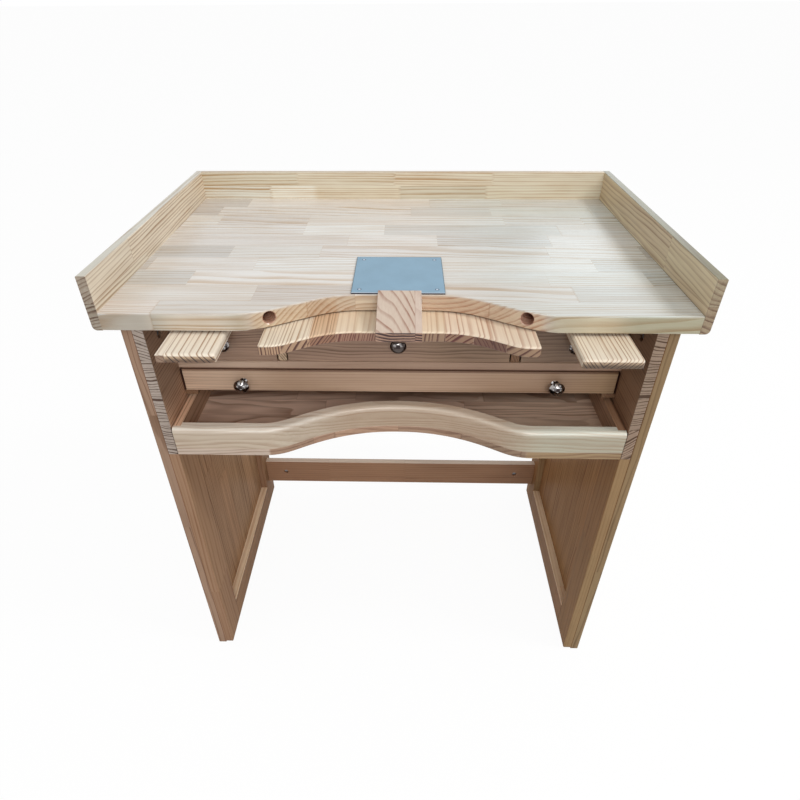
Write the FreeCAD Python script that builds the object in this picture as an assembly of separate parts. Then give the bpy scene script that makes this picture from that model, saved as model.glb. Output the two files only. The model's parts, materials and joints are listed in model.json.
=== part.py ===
import FreeCAD, Part
import math
import os

from FreeCAD import Vector

# A jeweller's bench in laminated pine, in millimetres.
# +X is the sitter's right, +Y points away from the sitter, +Z is up.
# The origin is on the floor, under the middle of the whole bench with its boards as they rest.

# ---- driving dimensions -------------------------------------------------------------------

bench_width = 950.0
worktop_depth = 600.0
worktop_height = 920.0
worktop_thickness = 30.0

worktop_front_round = 1.8

gallery_thickness = 15.0
gallery_height = 90.0
gallery_low_round = 7.0
gallery_screw_inset = 30.0
gallery_screws_a_side = 4
gallery_back_screws_each_way = 2
gallery_back_screw_pitch = 200.0

pin_reach = 32.0
armrest_reach_left = 62.5
armrest_reach_right = 70.0

board_thickness = 18.0
foot_round = 6.0
leg_outer_round = 2.0
leg_inset = 31.0
leg_front_setback = 20.0
leg_rear_setback = 38.0
batten_width = 72.0

carcass_bottom = 618.0
front_setback = 114.0
tray_setback = 16.0
divider_centre = 212.3
divider_thickness = 15.0
carcass_front_round = 1.0

bay_depth = 72.0
bay_slope = math.radians(30.0)

running_gap = 0.4
edge_round = 1.5

# How far a cutting shape passes the face that it cuts.
past_face = 1.0

# ---- levels and planes worked out from them -----------------------------------------------

back_y = (worktop_depth + armrest_reach_right) / 2.0
front_y = back_y - worktop_depth
half_width = bench_width / 2.0
half_top = half_width - gallery_thickness
underside = worktop_height - worktop_thickness
top_back_y = back_y - gallery_thickness

leg_outer = half_width - leg_inset
leg_middle = leg_outer - board_thickness
leg_inner = leg_middle - board_thickness
leg_front_y = front_y + leg_front_setback
leg_back_y = back_y - leg_rear_setback

slot_height = 19.0
slot_floor = underside - slot_height
top_panel_bottom = slot_floor - board_thickness
fronts_y = front_y + front_setback
carcass_back_thickness = 12.0
inside_back_y = leg_back_y - carcass_back_thickness

shelf_top = 765.5
shelf_thickness = 16.0
shelf_bottom = shelf_top - shelf_thickness
dado = 6.0

# The bay that the sitter leans into. Its edge is a flat, an arc, a slope, an arc and the front.
bay_flat_half = 55.0
bay_inner_radius = 160.0
bay_outer_radius = 130.0

# The sliding boards that lie in the slot under the worktop.
slide_board_bottom = slot_floor + running_gap
armrest_thickness = 14.0
armrest_top = slide_board_bottom + armrest_thickness
armrest_centre = 313.2
armrest_half = 44.3
armrest_length = 450.0
armrest_strip = 13.0
nose_round = 4.0
nose_corner_round = 4.5
elbow_thickness = 17.8
elbow_top = slide_board_bottom + elbow_thickness
elbow_x = 2.5
elbow_half = 212.0
elbow_tip_reach = 41.0
elbow_rear_setback = 360.0
elbow_bay_depth = 45.0
elbow_flat_half = 66.0
elbow_inner_radius = 150.0
elbow_outer_radius = 56.0
elbow_corner_radius = 3.0
elbow_top_round = 2.5
slide_gap = 0.5
guide_screw_xs = (-382.0, -238.0, 238.0, 382.0)
guide_screw_front_inset = 40.0
guide_screw_rear_inset = 50.0

# The stop pins stand in blind grooves on the undersides of the sliding boards.
stop_pin_radius = 4.0
stop_pin_setback = 210.0
stop_pin_stand = 5.0
stop_pin_sunk = 10.0
groove_depth = 6.5
travel_in = 65.0
armrest_travel_out = 150.0
elbow_travel_out = 120.0
elbow_stop_x = 120.0

# The bench pin, a wedge that slopes down towards the sitter, and its mortise.
pin_x = 2.5
pin_half = 35.0
pin_proud = 7.5
pin_nose = 15.5
pin_rise = 1.0
pin_bottom = underside + pin_rise
mortise_half = 36.5
mortise_height = 10.0
mortise_bottom = 902.0
mortise_depth = 52.0
tenon_length = 50.0
tenon_gap = 0.3
tenon_lap = 5.0
pin_arris = 1.0

# The holes that hold ring mandrels, drilled square to the curved edge where they start.
mandrel_x = 199.0
mandrel_rise = 17.0
mandrel_radius = 10.25
mandrel_length = 60.0
mandrel_chamfer = 1.5
mandrel_start = 4.0

# The steel plate and its screws.
plate_half = 76.5
plate_length = 152.0
plate_thickness = 2.5
plate_screw_x = 63.5
plate_screw_inset = 13.5
plate_corner_round = 1.0

# Upper drawers, side by side.
upper_front_bottom = 766.0
upper_front_top = 852.0
drawer_side_gap = 2.7
divider_setback = 2.0
drawer_front_thickness = 16.0
drawer_wall = 10.0
drawer_bottom_thickness = 5.0
drawer_bottom_rise = 7.0
drawer_groove = 5.0
drawer_length = 435.5
drawer_drop = 12.0

# The wide lower drawer and the cleats it runs on.
lower_front_half = 405.5
lower_front_bottom = 698.5
lower_front_top = 746.0
lower_wall = 12.0
lower_wall_drop = 2.0
wall_shy = 1.0
cleat_width = 24.0
cleat_height = 8.5
lower_knob_x = 292.0
lower_knob_z = 720.0

# The catch tray.
tray_half = 406.0
tray_bottom_z = 621.0
tray_floor = 15.0
tray_top = 681.0
tray_front_thickness = 20.0
tray_bay_depth = 73.5
tray_flat_half = 5.0
tray_inner_radius = 322.0
tray_outer_radius = 100.0
tray_wall = 14.0
tray_lap = 10.0
tray_top_round = 8.0
tray_length = 533.5
tray_runner_height = 11.0
tray_runner_depth = 8.0
tray_runner_z = 650.0
tray_runner_play = 2.0
tray_groove_stop = 30.0
tray_bottom_arris = 1.0

# The rear stretcher.
stretcher_bottom = 71.0
stretcher_top = 151.0
stretcher_front_setback = 521.0

# Knobs.
knob_cap_radius = 14.5
knob_cap_taper = 2.0
knob_stud_radius = 2.0
knob_stud_length = 12.0
knob_flange_radius = 7.5
knob_flange_height = 2.5
knob_neck_radius = 5.2
knob_neck_end = 13.0
knob_cap_start = 15.5
knob_rim_height = 19.0
knob_height = 26.5

# Screws as (head radius, shank radius, length), and the slots and sockets of their heads.
gallery_screw_size = (4.0, 2.0, 50.0)
plate_screw_size = (3.6, 1.8, 18.0)
worktop_screw_size = (4.0, 2.0, 56.0)
screw_slot = 1.0
screw_slot_depth_share = 0.45
screw_slot_reach_share = 1.1
socket_radius_share = 0.5
socket_depth_share = 0.6

same_within = 0.01

up = Vector(0, 0, 1)
down = Vector(0, 0, -1)


# ---- shapes -------------------------------------------------------------------------------

def block(x0, x1, y0, y1, z0, z1):
    """A rectangular board between two corners."""
    return Part.makeBox(x1 - x0, y1 - y0, z1 - z0, Vector(x0, y0, z0))


def mirrored(shape):
    """The same shape on the other side of the bench."""
    return shape.mirror(Vector(0, 0, 0), Vector(1, 0, 0))


def on_side(shape, side):
    """A shape made on the right (side 1), or its mirror image on the left (side -1)."""
    return shape if side > 0 else mirrored(shape)


def rod(start, direction, radius, length):
    """A round bar or hole."""
    return Part.makeCylinder(radius, length, start, direction)


def group(shapes):
    """Separate solids that share one node."""
    return Part.makeCompound(shapes)


def rounded(shape, radius, wanted):
    """Rounds the edges for which wanted(bounding box of the edge) is true."""
    edges = [edge for edge in shape.Edges if wanted(edge.BoundBox)]
    return shape.makeFillet(radius, edges)


def eased(shape, radius=edge_round):
    """Rounds every edge of a plain board a little."""
    return shape.makeFillet(radius, shape.Edges)


def near(a, b):
    """True when two coordinates are the same."""
    return abs(a - b) < same_within


def bay_edges(face_y, depth, flat_half, inner_radius, outer_radius):
    """The curved front edge of a board, from left to right, and the X where the bay ends."""
    sine = math.sin(bay_slope)
    fall = 1.0 - math.cos(bay_slope)
    deep_y = face_y + depth
    slope_fall = depth - (inner_radius + outer_radius) * fall
    inner_x = flat_half + inner_radius * sine
    outer_x = inner_x + slope_fall / math.tan(bay_slope)
    end_x = outer_x + outer_radius * sine

    half_sine = math.sin(bay_slope / 2.0)
    half_fall = 1.0 - math.cos(bay_slope / 2.0)
    flat = Vector(flat_half, deep_y, 0)
    inner_mid = Vector(flat_half + inner_radius * half_sine, deep_y - inner_radius * half_fall, 0)
    inner = Vector(inner_x, deep_y - inner_radius * fall, 0)
    outer = Vector(outer_x, face_y + outer_radius * fall, 0)
    outer_mid = Vector(end_x - outer_radius * half_sine, face_y + outer_radius * half_fall, 0)
    end = Vector(end_x, face_y, 0)

    def left(point):
        return Vector(-point.x, point.y, point.z)

    edges = [
        Part.Arc(left(end), left(outer_mid), left(outer)).toShape(),
        Part.makeLine(left(outer), left(inner)),
        Part.Arc(left(inner), left(inner_mid), left(flat)).toShape(),
        Part.makeLine(left(flat), flat),
        Part.Arc(flat, inner_mid, inner).toShape(),
        Part.makeLine(inner, outer),
        Part.Arc(outer, outer_mid, end).toShape(),
    ]
    return edges, end_x


def bayed_board(half, face_y, rear_y, bottom, thickness, bay):
    """A flat board whose front edge has a bay."""
    edges, end_x = bay_edges(face_y, *bay)
    outline = [
        Vector(end_x, face_y, 0),
        Vector(half, face_y, 0),
        Vector(half, rear_y, 0),
        Vector(-half, rear_y, 0),
        Vector(-half, face_y, 0),
        Vector(-end_x, face_y, 0),
    ]
    edges += [Part.makeLine(a, b) for a, b in zip(outline, outline[1:])]
    wire = Part.Wire(Part.__sortEdges__(edges))
    board = Part.Face(wire).extrude(Vector(0, 0, thickness))
    board.translate(Vector(0, 0, bottom))
    return board


def screw(head, direction, head_radius, shank_radius, length):
    """A countersunk screw with a slotted head; head is the middle of its flat top."""
    head_height = head_radius - shank_radius
    cone = Part.makeCone(head_radius, shank_radius, head_height, head, direction)
    shank = rod(head, direction, shank_radius, length)
    slot_depth = head_height * screw_slot_depth_share
    slot_reach = head_radius * screw_slot_reach_share
    slot = Part.makeBox(2.0 * slot_reach, screw_slot, slot_depth)
    slot.translate(Vector(-slot_reach, -screw_slot / 2.0, 0))
    turned = FreeCAD.Placement(head, FreeCAD.Rotation(up, direction))
    slot.Placement = turned.multiply(slot.Placement)
    return cone.fuse(shank).cut(slot)


def screw_hole(head, direction, head_radius, shank_radius, length):
    """What a screw takes out of the boards that it holds."""
    cone = Part.makeCone(head_radius, shank_radius, head_radius - shank_radius, head, direction)
    return cone.fuse(rod(head, direction, shank_radius, length))


def cap_bolt(head, direction, head_radius, head_height, shank_radius, length):
    """A cylinder-head bolt with a hexagon socket; head is the middle of its outer face."""
    cap = rod(head, direction, head_radius, head_height)
    shank = rod(head, direction, shank_radius, length)
    socket_radius = head_radius * socket_radius_share
    socket = rod(head, direction, socket_radius, head_height * socket_depth_share)
    return cap.fuse(shank).cut(socket)


def knob(centre_x, centre_z):
    """A mushroom knob with a stud, standing out of a drawer front towards the sitter."""
    base = Vector(0, 0, 0)
    cap_base = Vector(0, 0, knob_cap_start)
    cap_base_radius = knob_cap_radius - knob_cap_taper
    dome_rise = knob_height - knob_rim_height
    dome_radius = (knob_cap_radius ** 2 + dome_rise ** 2) / (2.0 * dome_rise)
    stud = rod(Vector(0, 0, -knob_stud_length), up, knob_stud_radius, knob_stud_length + past_face)
    flange = Part.makeCone(knob_flange_radius, knob_neck_radius, knob_flange_height, base, up)
    neck = rod(base, up, knob_neck_radius, knob_cap_start)
    flare_height = knob_cap_start - knob_neck_end
    flare_base = Vector(0, 0, knob_neck_end)
    cap_height = knob_rim_height - knob_cap_start
    flare = Part.makeCone(knob_neck_radius, cap_base_radius, flare_height, flare_base, up)
    cap = Part.makeCone(cap_base_radius, knob_cap_radius, cap_height, cap_base, up)
    ball = Part.makeSphere(dome_radius, Vector(0, 0, knob_height - dome_radius))
    above_rim = rod(Vector(0, 0, knob_rim_height), up, knob_cap_radius + past_face, dome_rise + past_face)
    turned = stud.fuse([flange, neck, flare, cap, ball.common(above_rim)]).removeSplitter()
    turned.rotate(base, Vector(1, 0, 0), 90)
    turned.translate(Vector(centre_x, fronts_y, centre_z))
    return turned


def knob_hole(centre_x, centre_z):
    """The blind hole for a knob's stud."""
    return rod(Vector(centre_x, fronts_y, centre_z), Vector(0, 1, 0), knob_stud_radius, knob_stud_length)


# ---- worktop, gallery, plate and bench pin ------------------------------------------------

bay_bottom_y = front_y + bay_depth


def gallery_screw_places():
    """Head and direction of each screw that holds a gallery board to the worktop."""
    level = worktop_height - worktop_thickness / 2.0
    first = front_y + gallery_screw_inset
    pitch = (worktop_depth - 2.0 * gallery_screw_inset) / (gallery_screws_a_side - 1)
    places = []
    for side in (-1, 1):
        for i in range(gallery_screws_a_side):
            places.append((Vector(side * half_width, first + i * pitch, level), Vector(-side, 0, 0)))
    for i in range(-gallery_back_screws_each_way, gallery_back_screws_each_way + 1):
        places.append((Vector(i * gallery_back_screw_pitch, back_y, level), Vector(0, -1, 0)))
    return places


def plate_screw_places():
    """Head of each screw of the steel plate."""
    top = worktop_height + plate_thickness
    front = bay_bottom_y + plate_screw_inset
    rear = bay_bottom_y + plate_length - plate_screw_inset
    return [Vector(x, y, top) for x in (-plate_screw_x, plate_screw_x) for y in (front, rear)]


def worktop_screw_places():
    """Head of each screw that goes up through the top panel and a guide strip."""
    ys = (fronts_y + guide_screw_front_inset, inside_back_y - guide_screw_rear_inset)
    return [Vector(x, y, top_panel_bottom) for x in guide_screw_xs for y in ys]


def mandrel_hole(side):
    """A blind hole with a chamfered mouth, square to the outer arc of the bay."""
    end_x = bay_edges(front_y, bay_depth, bay_flat_half, bay_inner_radius, bay_outer_radius)[1]
    turn = math.asin((end_x - mandrel_x) / bay_outer_radius)
    way = Vector(side * math.sin(turn), math.cos(turn), 0)
    mouth_y = front_y + bay_outer_radius * (1.0 - math.cos(turn))
    mouth = Vector(side * mandrel_x, mouth_y, underside + mandrel_rise)
    start = mouth - way * mandrel_start
    hole = rod(start, way, mandrel_radius, mandrel_length + mandrel_start)
    cone_height = mandrel_chamfer + mandrel_start
    cone = Part.makeCone(mandrel_radius + cone_height, mandrel_radius, cone_height, start, way)
    return [hole, cone]


def make_worktop():
    bay = (bay_depth, bay_flat_half, bay_inner_radius, bay_outer_radius)
    board = bayed_board(half_top, front_y, top_back_y, underside, worktop_thickness, bay)

    def front_arris(box):
        level = near(box.ZMin, box.ZMax)
        return level and box.YMax < bay_bottom_y + past_face and box.YMax - box.YMin < bay_depth

    board = rounded(board, worktop_front_round, front_arris)
    mortise = block(
        pin_x - mortise_half, pin_x + mortise_half,
        bay_bottom_y - past_face, bay_bottom_y + mortise_depth,
        mortise_bottom, mortise_bottom + mortise_height,
    )
    cuts = [mortise]
    for side in (-1, 1):
        cuts += mandrel_hole(side)
    for place, direction in gallery_screw_places():
        cuts.append(screw_hole(place, direction, *gallery_screw_size))
    for place in plate_screw_places():
        cuts.append(screw_hole(place, down, *plate_screw_size))
    for place in worktop_screw_places():
        cuts.append(screw_hole(place, up, *worktop_screw_size))
    return board.cut(cuts)


def make_gallery():
    side_board = block(half_top, half_width, front_y, back_y, underside, underside + gallery_height)

    def outer_lower(box):
        return near(box.XMin, half_width) and near(box.XMax, half_width) and near(box.ZMax, underside)

    def small(box):
        on_top = near(box.ZMin, underside + gallery_height)
        return on_top and near(box.ZMax, box.ZMin)

    side_board = rounded(side_board, gallery_low_round, outer_lower)
    side_board = rounded(side_board, edge_round, small)
    back_board = block(-half_top, half_top, top_back_y, back_y, underside, underside + gallery_height)

    def long_top(box):
        return near(box.ZMin, underside + gallery_height) and box.XMax - box.XMin > half_top

    back_board = rounded(back_board, edge_round, long_top)
    cuts = [screw_hole(place, way, *gallery_screw_size) for place, way in gallery_screw_places()]
    right = side_board.cut(cuts)
    left = mirrored(side_board).cut(cuts)
    return left, right, back_board.cut(cuts)


def make_plate():
    plate = block(
        -plate_half, plate_half,
        bay_bottom_y, bay_bottom_y + plate_length,
        worktop_height, worktop_height + plate_thickness,
    )

    def upright(box):
        return near(box.XMin, box.XMax) and near(box.YMin, box.YMax)

    plate = rounded(plate, plate_corner_round, upright)
    cuts = [screw_hole(place, down, *plate_screw_size) for place in plate_screw_places()]
    return plate.cut(cuts)


def make_bench_pin():
    nose_y = front_y - pin_reach
    root_y = bay_bottom_y - tenon_gap
    top = worktop_height + pin_proud
    left_x = pin_x - pin_half
    side_outline = [
        Vector(left_x, root_y, pin_bottom),
        Vector(left_x, root_y, top),
        Vector(left_x, nose_y, pin_bottom + pin_nose),
        Vector(left_x, nose_y, pin_bottom),
        Vector(left_x, root_y, pin_bottom),
    ]
    wedge = Part.Face(Part.makePolygon(side_outline)).extrude(Vector(2.0 * pin_half, 0, 0))
    wedge = eased(wedge, pin_arris)
    tenon = block(
        left_x, pin_x + pin_half,
        root_y - tenon_lap, bay_bottom_y + tenon_length,
        mortise_bottom + tenon_gap, mortise_bottom + mortise_height - tenon_gap,
    )
    return wedge.fuse(tenon)


# ---- legs, carcass and stretcher ----------------------------------------------------------

bolt_head_radius = 6.0
bolt_head_height = 5.0
bolt_radius = 3.0
counterbore_radius = 10.0
counterbore_depth = 9.0
stretcher_counterbore_radius = 7.5
carcass_bolt_length = 28.0
carcass_bolt_front_inset = 54.0
carcass_bolt_rear_inset = 57.0
carcass_bolt_rise = 20.0
carcass_bolt_front_drop = 44.0
carcass_bolt_rear_drop = 60.0

stretcher_front_y = front_y + stretcher_front_setback
stretcher_middle_y = stretcher_front_y + board_thickness / 2.0
stretcher_middle_z = (stretcher_bottom + stretcher_top) / 2.0
barrel_x = 350.0
barrel_radius = 6.5
barrel_hole_depth = 14.0
barrel_sunk = 5.5
bolt_past_barrel = 10.0
bolt_hole_spare = 2.0
stretcher_bolt_length = leg_outer - counterbore_depth - barrel_x + bolt_past_barrel


def carcass_bolt_places():
    """Where the bolts go from the carcass sides into the legs: (y, z)."""
    front = leg_front_y + carcass_bolt_front_inset
    rear = leg_back_y - carcass_bolt_rear_inset
    low = carcass_bottom + carcass_bolt_rise
    front_high = underside - carcass_bolt_front_drop
    rear_high = underside - carcass_bolt_rear_drop
    return [(front, low), (front, front_high), (rear, low), (rear, rear_high)]


def make_carcass_bolts():
    bolts = []
    start_x = leg_inner + counterbore_depth - bolt_head_height
    for side in (-1, 1):
        for y, z in carcass_bolt_places():
            head = Vector(side * start_x, y, z)
            way = Vector(side, 0, 0)
            bolts.append(
                cap_bolt(head, way, bolt_head_radius, bolt_head_height, bolt_radius, carcass_bolt_length)
            )
    return bolts


def carcass_bolt_holes():
    """Counterbores and shank holes on the right-hand side."""
    holes = []
    start_x = leg_inner + counterbore_depth - bolt_head_height
    for y, z in carcass_bolt_places():
        mouth = Vector(leg_inner - past_face, y, z)
        holes.append(rod(mouth, Vector(1, 0, 0), counterbore_radius, counterbore_depth + past_face))
        holes.append(rod(Vector(start_x, y, z), Vector(1, 0, 0), bolt_radius, carcass_bolt_length))
    return holes


def stretcher_bolt_holes():
    """Counterbore and shank hole on the right-hand side."""
    mouth = Vector(leg_outer + past_face, stretcher_middle_y, stretcher_middle_z)
    inwards = Vector(-1, 0, 0)
    wide = rod(mouth, inwards, stretcher_counterbore_radius, counterbore_depth + past_face)
    narrow = rod(mouth, inwards, bolt_radius, stretcher_bolt_length + counterbore_depth + bolt_hole_spare)
    return [wide, narrow]


def make_stretcher_hardware():
    bolts = []
    nuts = []
    for side in (-1, 1):
        head_x = side * (leg_outer - counterbore_depth + bolt_head_height)
        head = Vector(head_x, stretcher_middle_y, stretcher_middle_z)
        length = stretcher_bolt_length + bolt_head_height
        bolts.append(
            cap_bolt(head, Vector(-side, 0, 0), bolt_head_radius, bolt_head_height, bolt_radius, length)
        )
        nut = rod(
            Vector(side * barrel_x, stretcher_front_y + barrel_sunk, stretcher_middle_z),
            Vector(0, 1, 0), barrel_radius, barrel_hole_depth - barrel_sunk,
        )
        nuts.append(nut.cut(bolts[-1]))
    return bolts, nuts


def make_stretcher():
    rail = block(
        -leg_inner, leg_inner,
        stretcher_front_y, stretcher_front_y + board_thickness,
        stretcher_bottom, stretcher_top,
    )
    rail = rounded(rail, edge_round, lambda box: box.XMax - box.XMin > leg_inner)
    cuts = []
    for side in (-1, 1):
        mouth = Vector(side * barrel_x, stretcher_front_y, stretcher_middle_z)
        cuts.append(rod(mouth, Vector(0, 1, 0), barrel_radius, barrel_hole_depth))
        cuts += [on_side(hole, side) for hole in stretcher_bolt_holes()]
    return rail.cut(cuts)


def make_leg():
    """The four boards of the right-hand leg."""
    panel = block(leg_middle, leg_outer, leg_front_y, leg_back_y, 0.0, underside)

    def outer_corner(box):
        return near(box.XMin, leg_outer) and near(box.XMax, leg_outer) and box.ZMin < underside - past_face

    panel = rounded(panel, leg_outer_round, outer_corner)
    panel = panel.cut(carcass_bolt_holes() + stretcher_bolt_holes())
    front = block(leg_inner, leg_middle, leg_front_y, leg_front_y + batten_width, 0.0, carcass_bottom)
    rear = block(leg_inner, leg_middle, leg_back_y - batten_width, leg_back_y, 0.0, carcass_bottom)
    foot_front = leg_front_y + batten_width
    foot_back = leg_back_y - batten_width
    foot = block(leg_inner, leg_middle, foot_front, foot_back, 0.0, batten_width)

    def inner_upright(box):
        upright = box.ZMax - box.ZMin > batten_width
        return upright and near(box.XMin, leg_inner) and near(box.XMax, leg_inner)

    def inner_foot(box):
        return near(box.XMin, leg_inner) and near(box.XMax, leg_inner) and near(box.ZMax, 0.0)

    def foot_top(box):
        return near(box.XMin, leg_inner) and near(box.XMax, leg_inner) and near(box.ZMin, batten_width)

    front = rounded(front, edge_round, inner_upright)
    front = rounded(front, foot_round, inner_foot)
    rear = rounded(rear, edge_round, inner_upright)
    rear = rounded(rear, foot_round, inner_foot).cut(stretcher_bolt_holes())
    foot = rounded(foot, edge_round, foot_top)
    foot = rounded(foot, foot_round, inner_foot)
    return panel, front, rear, foot


def make_carcass_side():
    side = block(leg_inner, leg_middle, leg_front_y, leg_back_y, carcass_bottom, underside)

    def inner_front(box):
        upright = box.ZMax - box.ZMin > batten_width
        inner = near(box.XMin, leg_inner) and near(box.XMax, leg_inner)
        return upright and inner and near(box.YMin, leg_front_y)

    side = rounded(side, carcass_front_round, inner_front)
    for bottom, top in ((shelf_bottom, shelf_top), (top_panel_bottom, slot_floor)):
        side = side.cut(block(leg_inner - past_face, leg_inner + dado, fronts_y, inside_back_y, bottom, top))
    return side.cut(carcass_bolt_holes())


def make_shelf_and_top():
    half = leg_inner + dado
    shelf = block(-half, half, fronts_y, inside_back_y, shelf_bottom, shelf_top)
    top = block(-half, half, fronts_y, inside_back_y, top_panel_bottom, slot_floor)
    for side in (-1, 1):
        x0 = side * divider_centre - divider_thickness / 2.0
        x1 = x0 + divider_thickness
        start_y = fronts_y + divider_setback
        shelf = shelf.cut(block(x0, x1, start_y, inside_back_y, shelf_top - dado, shelf_top))
        top = top.cut(block(x0, x1, start_y, inside_back_y, top_panel_bottom, top_panel_bottom + dado))
    holes = [screw_hole(place, up, *worktop_screw_size) for place in worktop_screw_places()]
    for x, y in stop_pin_places():
        holes.append(rod(Vector(x, y, slot_floor), down, stop_pin_radius, stop_pin_sunk))
    return shelf, top.cut(holes)


def make_divider(side):
    middle = side * divider_centre
    half = divider_thickness / 2.0
    return block(
        middle - half, middle + half, fronts_y + divider_setback, inside_back_y,
        shelf_top - dado, top_panel_bottom + dado,
    )


def make_guide_strips():
    """Spacers between the top panel and the worktop that guide the sliding boards."""
    armrest_inner = armrest_centre - armrest_half - slide_gap
    armrest_outer = armrest_centre + armrest_half + slide_gap
    holes = [screw_hole(place, up, *worktop_screw_size) for place in worktop_screw_places()]
    strips = []
    for side in (-1, 1):
        elbow_edge = elbow_half + slide_gap + side * elbow_x
        for x0, x1 in ((elbow_edge, armrest_inner), (armrest_outer, leg_inner)):
            strip = on_side(block(x0, x1, fronts_y, inside_back_y, slot_floor, underside), side)
            strips.append(strip.cut(holes))
    return group(strips)


# ---- sliding boards -----------------------------------------------------------------------

stop_pin_y = front_y + stop_pin_setback


def stop_pin_places():
    """Where the stop pins stand: one under each armrest, two under the elbow board."""
    xs = (-armrest_centre, -elbow_stop_x, elbow_stop_x, armrest_centre)
    return [(x, stop_pin_y) for x in xs]


def stop_groove(x, travel_out):
    """The blind groove that a stop pin runs in, cut in the underside of a sliding board."""
    radius = stop_pin_radius + slide_gap
    y0 = stop_pin_y - travel_in
    y1 = stop_pin_y + travel_out
    depth = groove_depth
    start_z = slide_board_bottom - past_face
    middle = block(x - radius, x + radius, y0, y1, start_z, slide_board_bottom + depth)
    ends = [rod(Vector(x, y, start_z), up, radius, depth + past_face) for y in (y0, y1)]
    return middle.fuse(ends)


def make_armrest(side, reach, strip_width=0.0):
    """A board with a rounded nose and inner edge; a square strip may be glued to its outer edge."""
    nose_y = front_y - reach
    rear_y = nose_y + armrest_length
    x0 = armrest_centre - armrest_half
    x1 = armrest_centre + armrest_half
    spare = 2.0 * nose_round
    board = block(x0, x1 + spare, nose_y, rear_y, slide_board_bottom, armrest_top)

    def nose_corner(box):
        return near(box.YMax, nose_y) and near(box.XMin, box.XMax)

    def top_nose(box):
        return box.YMin < fronts_y and near(box.ZMin, armrest_top)

    board = rounded(board, nose_corner_round, nose_corner)
    board = rounded(board, nose_round, top_nose)
    cut_x = x1 - strip_width
    outer_waste = block(
        cut_x, x1 + 2.0 * spare, nose_y - past_face, rear_y + past_face, slot_floor, underside,
    )
    board = board.cut(outer_waste)
    if strip_width:
        strip = block(cut_x, x1, nose_y, rear_y, slide_board_bottom, armrest_top)
        board = board.fuse(strip)

    def outer_top(box):
        at_outer = near(box.XMin, x1) and near(box.XMax, x1)
        return at_outer and near(box.ZMin, armrest_top) and near(box.ZMax, armrest_top)

    board = rounded(board, edge_round, outer_top)
    return on_side(board.cut(stop_groove(armrest_centre, armrest_travel_out)), side)


def make_elbow_board():
    tip_y = front_y - elbow_tip_reach
    rear_y = front_y + elbow_rear_setback
    bay = (elbow_bay_depth, elbow_flat_half, elbow_inner_radius, elbow_outer_radius)
    board = bayed_board(elbow_half, tip_y, rear_y, slide_board_bottom, elbow_thickness, bay)

    def top_front(box):
        return near(box.ZMin, elbow_top) and box.YMin < rear_y - past_face

    def low_front(box):
        level = near(box.ZMin, box.ZMax) and near(box.ZMax, slide_board_bottom)
        return level and box.YMin < rear_y - past_face

    def tip_corner(box):
        at_corner = near(box.XMin, box.XMax) and near(abs(box.XMin), elbow_half)
        return at_corner and box.YMax < tip_y + past_face

    board = rounded(board, elbow_corner_radius, tip_corner)
    board = rounded(board, elbow_top_round, top_front)
    board = rounded(board, edge_round, low_front)
    board.translate(Vector(elbow_x, 0, 0))
    for x in (-elbow_stop_x, elbow_stop_x):
        board = board.cut(stop_groove(x, elbow_travel_out))
    return board


def make_stop_pins():
    length = stop_pin_sunk + running_gap + stop_pin_stand
    return group([
        rod(Vector(x, y, slot_floor - stop_pin_sunk), up, stop_pin_radius, length)
        for x, y in stop_pin_places()
    ])


# ---- drawers and tray ---------------------------------------------------------------------

drawer_boards = ("front", "sides", "back", "bottom")


def make_drawer(x0, x1, front_z, side_z, wall, knob_places):
    """Front, side walls, back, bottom and knobs of a drawer between x0 and x1.

    front_z and side_z are the lowest and highest levels of the front and of the walls.
    """
    face = block(x0, x1, fronts_y, fronts_y + drawer_front_thickness, *front_z)

    def face_arris(box):
        return near(box.YMax, fronts_y)

    face = rounded(face, edge_round, face_arris)
    inner_y = fronts_y + drawer_front_thickness
    rear_y = fronts_y + drawer_length
    left_inner = x0 + wall_shy + wall
    right_inner = x1 - wall_shy - wall
    floor_z = side_z[0] + drawer_bottom_rise
    floor_top = floor_z + drawer_bottom_thickness
    left_wall = block(left_inner - wall, left_inner, inner_y, rear_y, *side_z)
    right_wall = block(right_inner, right_inner + wall, inner_y, rear_y, *side_z)
    back_wall = block(left_inner, right_inner, rear_y - wall, rear_y, floor_top, side_z[1])
    floor = block(
        left_inner - drawer_groove, right_inner + drawer_groove,
        inner_y - drawer_groove, rear_y,
        floor_z, floor_top,
    )
    cuts = [floor] + [knob_hole(*place) for place in knob_places]
    return {
        "front": face.cut(cuts),
        "sides": group([left_wall.cut(floor), right_wall.cut(floor)]),
        "back": back_wall,
        "bottom": floor,
        "knobs": [knob(*place) for place in knob_places],
    }


def make_upper_drawers():
    """The three drawers between the carcass sides and the dividers."""
    near_face = divider_centre - divider_thickness / 2.0
    far_face = divider_centre + divider_thickness / 2.0
    spans = {
        "left": (-leg_inner, -far_face),
        "centre": (-near_face, near_face),
        "right": (far_face, leg_inner),
    }
    front_z = (upper_front_bottom, upper_front_top)
    side_z = (shelf_top + running_gap, upper_front_top - drawer_drop)
    knob_z = (upper_front_bottom + upper_front_top) / 2.0
    nodes = {}
    for name, (x0, x1) in spans.items():
        x0 += drawer_side_gap
        x1 -= drawer_side_gap
        knob_x = (x0 + x1) / 2.0
        pieces = make_drawer(x0, x1, front_z, side_z, drawer_wall, [(knob_x, knob_z)])
        for piece in drawer_boards:
            nodes[f"drawer_{name}_{piece}"] = pieces[piece]
        nodes[f"drawer_{name}_knob"] = pieces["knobs"][0]
    return nodes


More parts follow.
